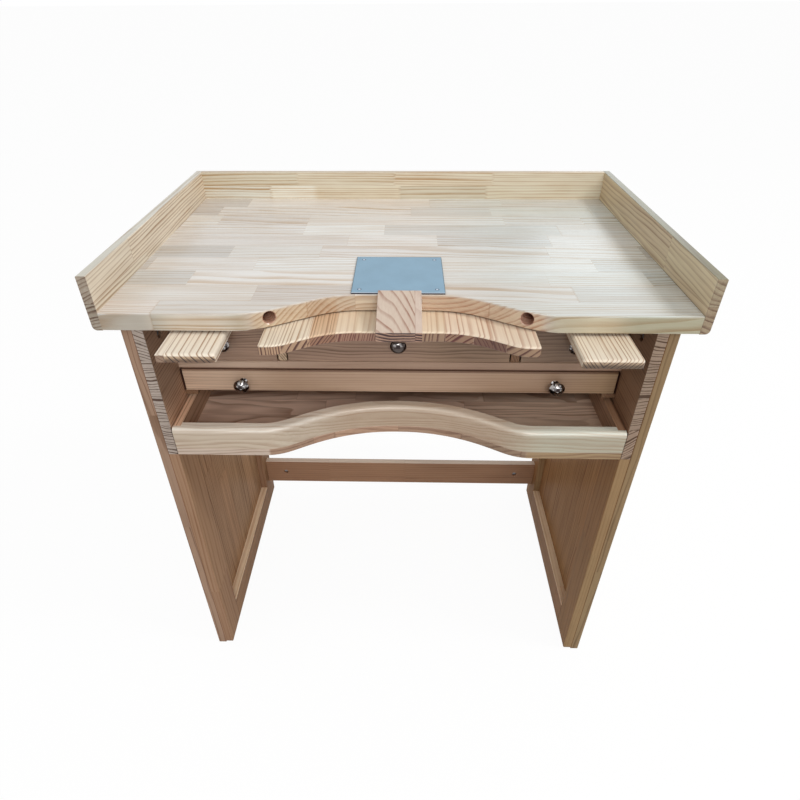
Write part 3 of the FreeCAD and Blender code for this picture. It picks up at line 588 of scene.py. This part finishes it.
def armrest_left_pine(node):
    """The outer strip is glued on and ends square; below its top it is painted darker as shade."""
    low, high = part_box(node)
    strip = low.x + 0.013
    end_grain, painted_shade_low = nose_of(node, x=(strip, None))
    painted_shade_on_strip = {"z": (None, high.z - 0.002), "x": (None, strip)}
    zones = [
        figured(end_grain, early=(200, 172, 142), late=(76, 44, 26), contrast=1.6),
        # Painted shade on the lower part of the nose.
        tinted(painted_shade_low, (0.27, 0.2, 0.16)),
        # Painted shade on the strip's faces below its top.
        tinted(painted_shade_on_strip, (0.33, 0.24, 0.19)),
    ]
    return lacquered_pine(
        node, "y", (252, 242, 226), (166, 126, 90), zones=zones, stave_start=strip, stave_width=0.2,
        block_length=2.0, ring_width=0.0074, line_start=0.55, unevenness=1.0, cut_angle=0.75, cut_spread=0.0,
        heart_distance=0.3, slope=0.0, wander=0.12, contrast=0.78, streak=0.3, tone_spread=0.0)


def armrest_right_pine(node):
    """Glued up from two staves whose rings lean towards each other."""
    low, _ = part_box(node)
    narrow_stave = {"x": (None, low.x + 0.031)}
    end_grain, painted_shade_low = nose_of(node)
    end_wood = dict(early=(188, 164, 136), late=(74, 46, 30), contrast=1.6)
    leaning = 0.75
    zones = [
        figured(narrow_stave, cut_angle=leaning),
        figured(end_grain, **end_wood),
        figured({**end_grain, **narrow_stave}, cut_angle=leaning, **end_wood),
        # Painted shade on the lower part of the nose.
        tinted(painted_shade_low, (0.25, 0.21, 0.17)),
    ]
    return lacquered_pine(
        node, "y", (240, 232, 214), (164, 124, 86), zones=zones, stave_start=low.x - 0.02, stave_width=0.115,
        block_length=2.0, ring_width=0.0048, line_start=0.55, unevenness=1.2, cut_angle=2.39, cut_spread=0.0,
        heart_distance=0.3, reach_spread=0.0, slope=0.0, wander=0.25, contrast=0.85, streak=0.4,
        tone_spread=0.0)


def pin_pine(node):
    """A narrow paler stave on the right, and dark stripes on the nose."""
    low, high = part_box(node)
    wide_stave = 0.85 * (high.x - low.x)
    zones = [
        figured({"x": (low.x + wide_stave, None)}, early=(222, 206, 192), contrast=0.35, ring_width=0.008),
        figured(
            front_of(node), early=(182, 144, 122), late=(56, 20, 14), cut_angle=1.5, cut_spread=0.05, run=0.0,
            ring_width=0.0046, unevenness=1.2, line_start=0.1, contrast=2.2, wander=0.6),
    ]
    return lacquered_pine(
        node, "y", (221, 201, 184), (156, 108, 86), zones=zones, stave_width=wide_stave, block_length=2.0,
        ring_width=0.0053, line_start=0.55, unevenness=0.8, cut_angle=1.93, cut_spread=0.1,
        heart_distance=0.2, run=0.34, slope=0.02, wander=0.5, contrast=0.85, streak=0.4, tone_spread=0.04,
        seed=4.0)


def leg_panel_pine(node):
    """Pale outside. The faces that look under the bench are painted darker as shade, the right leg's most,
    and painted light makes the front edge paler than them.
    """
    low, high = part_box(node)
    right = node.endswith("right")
    outside = (high.x - SKIN, None) if right else (None, low.x + SKIN)
    joint = (None, low.x + 0.0013) if right else (high.x - 0.0008, None)
    zones = [
        figured({"x": outside}, early=(206, 178, 144), late=(160, 122, 86)),
        # Painted light on the front edge.
        tinted(front_of(node), (1.02, 1.3, 1.6) if right else (1.06, 1.19, 1.5), 0.3),
        tinted({**front_of(node), "x": joint}, (0.55, 0.36, 0.26)),
    ]
    # The right leg's colour is painted darker than the left's, as shade.
    return lacquered_pine(
        node, "z", (171, 131, 90) if right else (190, 154, 120), LEG_LINE, **LEG_LACQUER, zones=zones,
        stave_width=0.06, block_length=0.45, finger=0.009, ring_width=0.0065, cut_angle=0.6, cut_spread=1.0,
        slope=0.03, wander=0.6, contrast=0.7, streak=0.6, tone_spread=0.07)


def batten_pine(node):
    """The uprights of the legs; painted light makes their front edges paler, and the right ones are painted a
    little darker as shade.
    """
    right = node.endswith("right")
    front = [tinted(front_of(node), (1.15, 1.4, 1.6) if right else (1.15, 1.22, 1.4))]
    return lacquered_pine(
        node, "z", (164, 126, 88) if right else (166, 132, 102), LEG_LINE, **LEG_LACQUER, zones=front,
        stave_width=0.072, block_length=0.7, finger=0.009, ring_width=0.006, cut_angle=1.0, cut_spread=0.6,
        contrast=0.5, streak=0.45)


def foot_batten_pine(node):
    """The upper edge is painted pale, as light falling on it from above."""
    top = [figured(top_of(node, 0.0016), early=(250, 230, 202), late=(206, 168, 130))]
    return lacquered_pine(
        node, "yz", (166, 130, 98), LEG_LINE, **LEG_LACQUER, zones=top, stave_width=0.08, block_length=0.8,
        ring_width=0.006, cut_angle=0.6, cut_spread=0.4, contrast=0.5, streak=0.45)


def carcass_side_pine(node):
    """Dark fine lines along the bench and greyish end grain with dark rings at the front. Painted light makes
    it paler low down, painted shade darkens its inner face along the front edge and beside the lower drawer,
    and the right side is painted darker as shade.
    """
    low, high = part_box(node)
    right = node.endswith("right")
    painted_shade_strip_x = (None, low.x + 0.0012) if right else (high.x - 0.0012, None)
    tray_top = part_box("catch_tray_front")[1].z
    drawer_low, drawer_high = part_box("lower_drawer_front")
    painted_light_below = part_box("middle_shelf")[1].z if right else drawer_high.z - 0.024
    painted_shade_beside_drawer = {
        "x": painted_shade_strip_x, "y": (drawer_low.y - 0.002, drawer_high.y), "z": (drawer_low.z, drawer_high.z)}
    # The right side's end grain is painted darker than the left's, as shade.
    end_early, end_late = ((160, 138, 120), (80, 58, 42)) if right else ((184, 170, 160), (88, 68, 58))
    zones = [
        # Painted light on the lower part; painted shade by the front edge and beside the lower drawer.
        tinted({"z": (None, painted_light_below), "soft": 0.05}, (1.5, 1.5, 1.5) if right else (2.2, 2.2, 2.2)),
        figured(front_of(node), early=end_early, late=end_late, contrast=1.5, wander=0.6, unevenness=3.0),
        tinted({**front_of(node, 0.002), "x": painted_shade_strip_x, "z": (None, tray_top)}, (0.3, 0.26, 0.24)),
        tinted(painted_shade_beside_drawer, (0.3, 0.2, 0.22)),
    ]
    # The right side's colour is painted darker than the left's, as shade.
    return lacquered_pine(
        node, "yz", (132, 103, 82) if right else (152, 124, 104), (90, 62, 44), **INSIDE_LACQUER, zones=zones,
        stave_width=0.068, block_length=0.9, ring_width=0.0065, line_start=0.55,
        cut_angle=-0.3 if right else 0.3, cut_spread=0.8, heart_distance=0.3, slope=0.05, wander=0.2,
        contrast=0.8, streak=0.45, tone_spread=0.05)


def shelf_pine(node):
    """Painted light makes it paler to the left, and painted shade is a dark line under its front edge."""
    low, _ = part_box(node)
    painted_light_left_end = {"x": (None, low.x + 0.21), "soft": 0.1}
    painted_lower_edge_shading = {"z": (None, low.z + 0.0016)}
    zones = [
        figured(painted_light_left_end, early=(238, 210, 188)),
        tinted(painted_lower_edge_shading, (0.6, 0.5, 0.46)),
    ]
    return lacquered_pine(
        node, "x", (184, 155, 134), (146, 114, 94), **DRAWER_LACQUER, zones=zones, **ONE_BOARD,
        ring_width=0.006, cut_angle=0.7, cut_spread=0.0, contrast=0.4, streak=0.45)


def divider_pine(node):
    # The right divider is painted darker than the left, as shade.
    early = (128, 98, 74) if node.endswith("right") else (204, 180, 152)
    return lacquered_pine(
        node, "yz", early, (78, 54, 38), gloss=0.5, shine=0.1, stave_width=0.06, block_length=0.9,
        ring_width=0.005, cut_angle=1.2, cut_spread=0.4, contrast=0.7, streak=0.5)


def upper_front_pine(node):
    """The three upper fronts are cut from one board, so their lines run on. Painted shade darkens them
    towards the right, the middle one most, and painted light brightens their lower edge.
    """
    low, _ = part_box(node)
    # The right front is painted darker, as shade.
    early = (148, 124, 106) if "right" in node else (168, 140, 120)
    right_side_painted_shading = {"x": (0.04, None), "soft": 0.06}
    painted_lower_edge_shading = {"z": (None, low.z + 0.0016)}
    zones = [
        tinted(right_side_painted_shading, (0.8, 0.8, 0.74) if "centre" in node else (0.86, 0.86, 0.82)),
        tinted(painted_lower_edge_shading, (1.4, 1.4, 1.4)),
    ]
    return lacquered_pine(
        node, "xz", early, (96, 70, 54), **DRAWER_LACQUER, zones=zones, **ONE_BOARD, ring_width=0.0065,
        line_start=0.3, cut_angle=0.5, cut_spread=0.0, slope=0.0, wander=1.0, contrast=0.6, streak=0.6,
        tone_spread=0.0, seed=21.0)


def lower_front_pine(node):
    """Painted light makes the left end and the lower half paler, painted shade darkens the right end, and a
    painted shade is a dark line along the upper edge.
    """
    low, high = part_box(node)
    painted_light_left_end = {"x": (None, low.x + 0.12), "soft": 0.1}
    painted_shade_right_end = {"x": (high.x - 0.06, None), "soft": 0.05}
    painted_light_lower_half = {"z": (None, high.z - 0.024), "soft": 0.008}
    painted_shade_top_edge = {**top_of(node, 0.0034), "soft": 0.001}
    zones = [
        figured(painted_light_left_end, early=(231, 201, 177)),
        tinted(painted_shade_right_end, (0.88, 0.88, 0.78)),
        tinted(painted_light_lower_half, (1.06, 1.06, 1.06)),
        tinted(painted_shade_top_edge, (0.46, 0.38, 0.34)),
    ]
    return lacquered_pine(
        node, "xz", (186, 156, 133), (146, 112, 88), gloss=0.4, shine=0.15, zones=zones, **ONE_BOARD,
        ring_width=0.0055, cut_angle=0.4, cut_spread=0.0, slope=0.01, wander=0.2, contrast=0.5, streak=0.45,
        tone_spread=0.0)


def drawer_wall_pine(node):
    return lacquered_pine(
        node, "xz" if node.endswith("_back") else "yz", (212, 184, 148), (166, 126, 90), gloss=0.45,
        stave_width=0.2, block_length=0.6, ring_width=0.006, cut_angle=0.6, cut_spread=0.8, contrast=0.45)


def drawer_floor_ply(node):
    return lacquered_pine(
        node, "x", (218, 194, 160), (182, 148, 112), gloss=0.45, stave_width=1.0, block_length=3.0,
        ring_width=0.004, cut_angle=1.5, cut_spread=0.0, heart_distance=0.1, slope=0.05, contrast=0.4,
        wander=0.8)


def tray_front_pine(node):
    """Warmer in the bay and a little darker to the right, with a painted highlight along the round of its
    upper edge and painted shade, with stronger lines, below the round.
    """
    _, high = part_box(node)
    bay_on = {"x": (-0.13, None), "soft": 0.05}
    right_flat = {"x": (0.22, None), "soft": 0.06}
    below_round = {"z": (None, high.z - 0.009), "soft": 0.004}
    painted_highlight_round = {**top_of(node, 0.005), "soft": 0.003}
    zones = [
        figured(bay_on, early=(207, 188, 169)),
        figured(right_flat, early=(204, 202, 188)),
        # Painted shade below the round, with its lines drawn stronger.
        tinted(below_round, (0.84, 0.81, 0.75), 0.5),
        # Painted highlight along the round of the upper edge.
        tinted(painted_highlight_round, (1.3, 1.4, 1.48)),
    ]
    return lacquered_pine(
        node, "xz", (221, 209, 195), (172, 136, 106), gloss=0.3, zones=zones, **ONE_BOARD, ring_width=0.0085,
        line_start=0.3, cut_angle=0.6, cut_spread=0.0, heart_distance=0.12, slope=0.0, wander=1.3,
        contrast=0.36, streak=0.5, tone_spread=0.0)


def tray_floor_pine(node):
    """Short wide blocks of mixed tone; the cut front edge follows the front board's colour on the flats."""
    low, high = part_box(node)
    right_side_painted_shading = {"x": (0.13, None), "soft": 0.1}
    cut_edge = {"z": (None, high.z - 0.0005)}
    flats = {**cut_edge, **front_of(node)}
    bay = {**cut_edge, "y": (low.y + SKIN, low.y + 0.1)}
    shade_line = {"y": (-0.078, -0.032), "soft": 0.013}
    zones = [
        # Painted shade on the right part.
        tinted(right_side_painted_shading, (0.86, 0.9, 0.88)),
        tinted({**flats, "x": LEFT}, (1.05, 1.25, 1.34)),
        tinted({**flats, "x": RIGHT}, (0.82, 0.79, 0.6)),
        tinted(bay, (0.53, 0.47, 0.41)),
        tinted(shade_line, (0.5, 0.45, 0.42)),
    ]
    return lacquered_pine(
        node, "x", (241, 210, 191), (138, 98, 75), **INSIDE_LACQUER, zones=zones, stave_width=0.052,
        block_length=0.2, ring_width=0.008, line_start=0.4, cut_angle=1.3, cut_spread=1.0, slope=0.16,
        wander=1.2, contrast=0.5, streak=0.45, tone_spread=0.18)


def tray_side_pine(node):
    """Painted light makes the upper edge pale on the left side, and painted shade makes it dark on the right
    one.
    """
    zones = [
        tinted({**top_of(node), "x": LEFT}, (1.7, 1.8, 1.9)),
        tinted({**top_of(node), "x": RIGHT}, (0.8, 0.74, 0.68)),
    ]
    return lacquered_pine(
        node, "yz", (196, 162, 136), (132, 94, 68), **INSIDE_LACQUER, zones=zones, stave_width=0.2,
        block_length=2.0, ring_width=0.006, cut_angle=0.8, cut_spread=0.6, contrast=0.5, streak=0.45)


def stretcher_pine(node):
    """The upper edge is painted pale, as light from above, and the right half is painted darker, as shade."""
    zones = [
        tinted({"x": RIGHT, "soft": 0.1}, (0.88, 0.88, 0.88)),
        tinted(top_of(node), (2.1, 3.1, 4.3)),
    ]
    return lacquered_pine(
        node, "xz", (171, 133, 106), (132, 95, 72), gloss=0.5, shine=0.06, zones=zones, stave_width=0.2,
        block_length=0.33, finger=0.009, ring_width=0.007, cut_angle=0.9, cut_spread=0.6, contrast=0.4,
        streak=0.45, tone_spread=0.04)


def cleat_pine(node):
    return lacquered_pine(
        node, "y", (142, 112, 88), (104, 76, 54), gloss=0.5, shine=0.1, stave_width=0.1, block_length=0.9,
        ring_width=0.005, contrast=0.6, streak=0.45)


def plain_pine(node):
    """Pieces that are out of sight in use."""
    return lacquered_pine(
        node, "x" if node in ("top_panel", "carcass_back") else "y", (204, 172, 138), (160, 122, 90),
        stave_width=0.06, block_length=0.3, ring_width=0.006, contrast=0.5)


# ---- metals -------------------------------------------------------------------------------

def ground_steel(node):
    """A dull blue-grey plate with fine scratches and faint stains, a darker rim along its sides and back, a
    painted highlight along its front rim, and dark side faces.
    """
    low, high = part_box(node)
    material, net, shader = new_material("ground steel plate")
    place = net.place()
    x, y, z = net.split(place)
    cloud = net.noise(place, 28.0, 4.0, 0.6)
    scratch = net.noise(net.join(net.times(x, 40.0), net.times(y, 1500.0), z), 1.0, 2.0, 0.6)
    mixed = net.plus(net.times(cloud, 0.7), net.times(scratch, 0.3))
    colour = net.blend(mixed, linear(123, 154, 175), linear(156, 189, 210))

    from_side = net.minus(high.x, net.math("ABSOLUTE", x))
    from_rim = net.math("MINIMUM", from_side, net.minus(high.y, y))
    darker_rim = net.ramp(from_rim, 0.0014, 0.0006)
    painted_highlight_rim = net.ramp(y, low.y + 0.0016, low.y + 0.0008)
    dark_side_faces = net.ramp(z, high.z - 0.0002, high.z - 0.0006)
    colour = net.blend(darker_rim, colour, linear(98, 118, 130))
    # Painted highlight along the front arris.
    colour = net.blend(painted_highlight_rim, colour, linear(196, 206, 216))
    colour = net.blend(dark_side_faces, colour, linear(50, 50, 64))
    net.feed(shader["Base Color"], colour)
    net.feed(shader["Roughness"], net.plus(0.4, net.times(mixed, 0.2)))
    shader["Metallic"].default_value = 0.6
    net.relief(shader, mixed, strength=0.15, depth=0.0002)
    return material


def plate_screw_steel(node):
    """The plate's screws: a painted highlight in the middle of the head, with a painted dark reflection round
    its rim.
    """
    low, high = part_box(node)
    head_radius = 0.0036
    # Where the painted highlight ends and where the painted dark reflection is full.
    bright, dark = 0.0016, 0.0028
    material, net, shader = new_material("blued plate screws")
    x, y, _ = net.split(net.place())
    middle_y = (low.y + high.y) / 2.0
    across = net.minus(net.math("ABSOLUTE", x), high.x - head_radius)
    along = net.math("ABSOLUTE", net.minus(y, middle_y))
    along = net.minus(along, high.y - middle_y - head_radius)
    from_middle = net.vector("LENGTH", net.join(across, along, 0.0))
    rim = net.ramp(from_middle, bright, dark)
    net.feed(shader["Base Color"], net.blend(rim, linear(214, 228, 242), linear(54, 80, 106)))
    shader["Roughness"].default_value = 0.45
    shader["Metallic"].default_value = 0.2
    return material


def zinc_screws(node):
    """Plated steel with a slight unevenness."""
    material, net, shader = new_material("zinc " + node.replace("_", " "))
    cloud = net.noise(net.place(), 160.0, 3.0, 0.6)
    net.feed(shader["Base Color"], net.blend(cloud, linear(190, 196, 202), linear(146, 152, 160)))
    net.feed(shader["Roughness"], net.plus(0.25, net.times(cloud, 0.2)))
    shader["Metallic"].default_value = 1.0
    return material


def chrome_knobs(node):
    """Chrome with painted reflections of a dark room: a dark ring, a few dark patches and painted glints
    between them.
    """
    low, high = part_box(node)
    radius = (high.z - low.z) / 2.0
    centre_x = abs(high.x + low.x) / 2.0
    two_knobs = high.x - low.x > 4.0 * radius
    if two_knobs:
        centre_x = high.x - radius
    centre_z = (high.z + low.z) / 2.0
    material, net, shader = new_material("chrome " + node.replace("_", " "))
    place = net.place()
    x, _, z = net.split(place)

    # Places on the knob as shares of its radius.
    out = net.over(net.minus(net.math("ABSOLUTE", x), centre_x), radius)
    up = net.over(net.minus(z, centre_z), radius)
    ring = net.math("SQRT", net.plus(net.times(out, out), net.times(up, up)))
    blur = net.minus(net.noise(place, 150.0), 0.5)
    ring = net.plus(ring, net.times(blur, 0.35))

    # Painted reflections of what it would mirror: a ring round its lower half, patches all over, and the
    # bench under its middle.
    painted_dark_ring = net.times(net.ramp(ring, 0.58, 0.68), net.ramp(ring, 0.9, 0.8))
    painted_dark_ring = net.times(painted_dark_ring, net.ramp(up, 0.45, 0.0))
    patches = net.ramp(net.noise(place, 190.0, 1.0, 0.4), 0.5, 0.58)
    dark = net.math("MAXIMUM", painted_dark_ring, net.times(patches, 0.85))
    bench = net.times(net.ramp(net.math("ABSOLUTE", out), 0.32, 0.2), net.ramp(up, -0.1, 0.05))
    dark = net.math("MAXIMUM", dark, net.times(bench, net.ramp(up, 0.5, 0.4)))
    glint = net.times(net.ramp(up, 0.1, 0.4), net.ramp(ring, 0.75, 0.5))

    # The middle knob is painted darker, as the shade of the elbow board.
    grey, bright = linear(168, 164, 162), linear(238, 236, 236)
    if "centre" in node:
        grey, bright = linear(88, 80, 76), linear(176, 172, 170)
    grey = net.blend(glint, grey, bright)
    net.feed(shader["Base Color"], net.blend(dark, grey, linear(58, 50, 49)))
    net.feed(shader["Roughness"], net.plus(0.1, net.times(net.noise(place, 160.0), 0.08)))
    shader["Metallic"].default_value = 1.0
    return material


# ---- which piece has which finish ---------------------------------------------------------

# The first row that a node's name fits.
FINISHES = [
    ("plate_screws", plate_screw_steel),
    ("*_screws", zinc_screws),
    ("*_bolts", zinc_screws),
    ("*_nuts", zinc_screws),
    ("*_knob", chrome_knobs),
    ("*_knobs", chrome_knobs),
    ("steel_plate", ground_steel),
    ("worktop", worktop_pine),
    ("gallery_back", gallery_back_pine),
    ("gallery_*", gallery_side_pine),
    ("elbow_board", elbow_pine),
    ("armrest_left", armrest_left_pine),
    ("armrest_right", armrest_right_pine),
    ("bench_pin", pin_pine),
    ("leg_panel_*", leg_panel_pine),
    ("leg_foot_*", foot_batten_pine),
    ("leg_*", batten_pine),
    ("carcass_side_*", carcass_side_pine),
    ("carcass_back", plain_pine),
    ("middle_shelf", shelf_pine),
    ("divider_*", divider_pine),
    ("rear_stretcher", stretcher_pine),
    ("*_runners", cleat_pine),
    ("lower_drawer_front", lower_front_pine),
    ("catch_tray_front", tray_front_pine),
    ("catch_tray_sides", tray_side_pine),
    ("catch_tray_*", tray_floor_pine),
    ("*_front", upper_front_pine),
    ("*_sides", drawer_wall_pine),
    ("*_back", drawer_wall_pine),
    ("*_bottom", drawer_floor_ply),
    ("*", plain_pine),
]

for node_name, obj in nodes.items():
    make_finish = next(make for pattern, make in FINISHES if fnmatchcase(node_name, pattern))
    obj.data.materials.clear()
    obj.data.materials.append(make_finish(node_name))


# ---- floor, light and camera --------------------------------------------------------------

def seen_directly(net):
    """1 for what the eye, a mirror or glass sees, and 0 for the light that falls on the object."""
    path = net.add("ShaderNodeLightPath")
    seen = net.math("MAXIMUM", path.outputs["Is Camera Ray"], path.outputs["Is Glossy Ray"])
    return net.math("MAXIMUM", seen, path.outputs["Is Transmission Ray"])


def pale_floor(size, below):
    """Almost white to the eye, with a faint shadow, and a plain pale grey to the light."""
    deselect()
    bpy.ops.mesh.primitive_plane_add(size=size, location=(0.0, 0.0, -below))
    floor = bpy.context.object
    floor.name = "pale_floor"
    bpy.ops.object.transform_apply(location=True)
    material = bpy.data.materials.new("pale floor")
    material.use_nodes = True
    material.node_tree.nodes.clear()
    net = Net(material.node_tree)
    matt = net.add("ShaderNodeBsdfDiffuse")
    matt.inputs["Color"].default_value = (0.82, 0.82, 0.82, 1.0)
    white = net.add("ShaderNodeEmission")
    white.inputs["Strength"].default_value = 1.02
    mixer = net.add("ShaderNodeMixShader")
    output = net.add("ShaderNodeOutputMaterial")
    net.feed(mixer.inputs[0], net.times(seen_directly(net), 0.93))
    net.feed(mixer.inputs[1], matt.outputs[0])
    net.feed(mixer.inputs[2], white.outputs[0])
    net.feed(output.inputs["Surface"], mixer.outputs[0])
    floor.data.materials.append(material)


def white_world(strength):
    """Even light on the object, and white wherever the eye, a mirror or glass sees past it."""
    world = bpy.data.worlds.new("studio")
    scene.world = world
    world.use_nodes = True
    world.node_tree.nodes.clear()
    net = Net(world.node_tree)
    background = net.add("ShaderNodeBackground")
    background.inputs["Color"].default_value = (1.0, 1.0, 1.0, 1.0)
    brightness = net.plus(strength, net.times(seen_directly(net), 1.0 - strength))
    net.feed(background.inputs["Strength"], brightness)
    output = net.add("ShaderNodeOutputWorld")
    net.feed(output.inputs["Surface"], background.outputs[0])


def soft_lamp(name, place, aim, size, power, colour=(1.0, 1.0, 1.0)):
    """A square lamp. size is its side in metres, power its watts."""
    lamp = bpy.data.lights.new(name, "AREA")
    lamp.shape = "SQUARE"
    lamp.size = size
    lamp.energy = power
    lamp.color = colour
    holder = bpy.data.objects.new(name, lamp)
    scene.collection.objects.link(holder)
    holder.location = place
    holder.rotation_euler = (Vector(aim) - Vector(place)).to_track_quat("-Z", "Y").to_euler()


def studio_camera(place, yaw, pitch, roll, lens, shift):
    """yaw turns it right, pitch turns it up and roll lifts its right side, in radians. lens is in mm."""
    forward = Vector((math.sin(yaw) * math.cos(pitch), math.cos(yaw) * math.cos(pitch), math.sin(pitch)))
    right = Vector((math.cos(yaw), -math.sin(yaw), 0.0))
    upward = right.cross(forward)
    rolled_right = right * math.cos(roll) + upward * math.sin(roll)
    rolled_up = upward * math.cos(roll) - right * math.sin(roll)
    data = bpy.data.cameras.new("camera")
    data.sensor_width = 36.0
    data.lens = lens
    data.shift_x = shift
    data.clip_start = 0.05
    data.clip_end = 60.0
    camera = bpy.data.objects.new("camera", data)
    scene.collection.objects.link(camera)
    camera.location = place
    camera.rotation_euler = Matrix((rolled_right, rolled_up, -forward)).transposed().to_euler()
    scene.camera = camera


pale_floor(size=400.0, below=0.0005)
white_world(strength=0.5)
soft_lamp("lamp_above_right", place=(3.5, -0.8, 4.9), aim=(0.0, 0.0, 0.9), size=1.1, power=93.0)
soft_lamp(
    "lamp_behind", place=(1.45, 2.9, 1.95), aim=(0.35, -0.05, 0.92), size=1.0, power=3.5,
    colour=(0.82, 0.92, 1.0))
soft_lamp("lamp_front", place=(0.6, -4.1, 3.1), aim=(0.0, -0.2, 0.7), size=2.0, power=73.0)
studio_camera(
    place=(0.01115, -1.04305, 1.3214), yaw=-0.0284, pitch=-0.6235, roll=-0.0071, lens=25.772, shift=0.0115)
scene.view_settings.view_transform = "Standard"
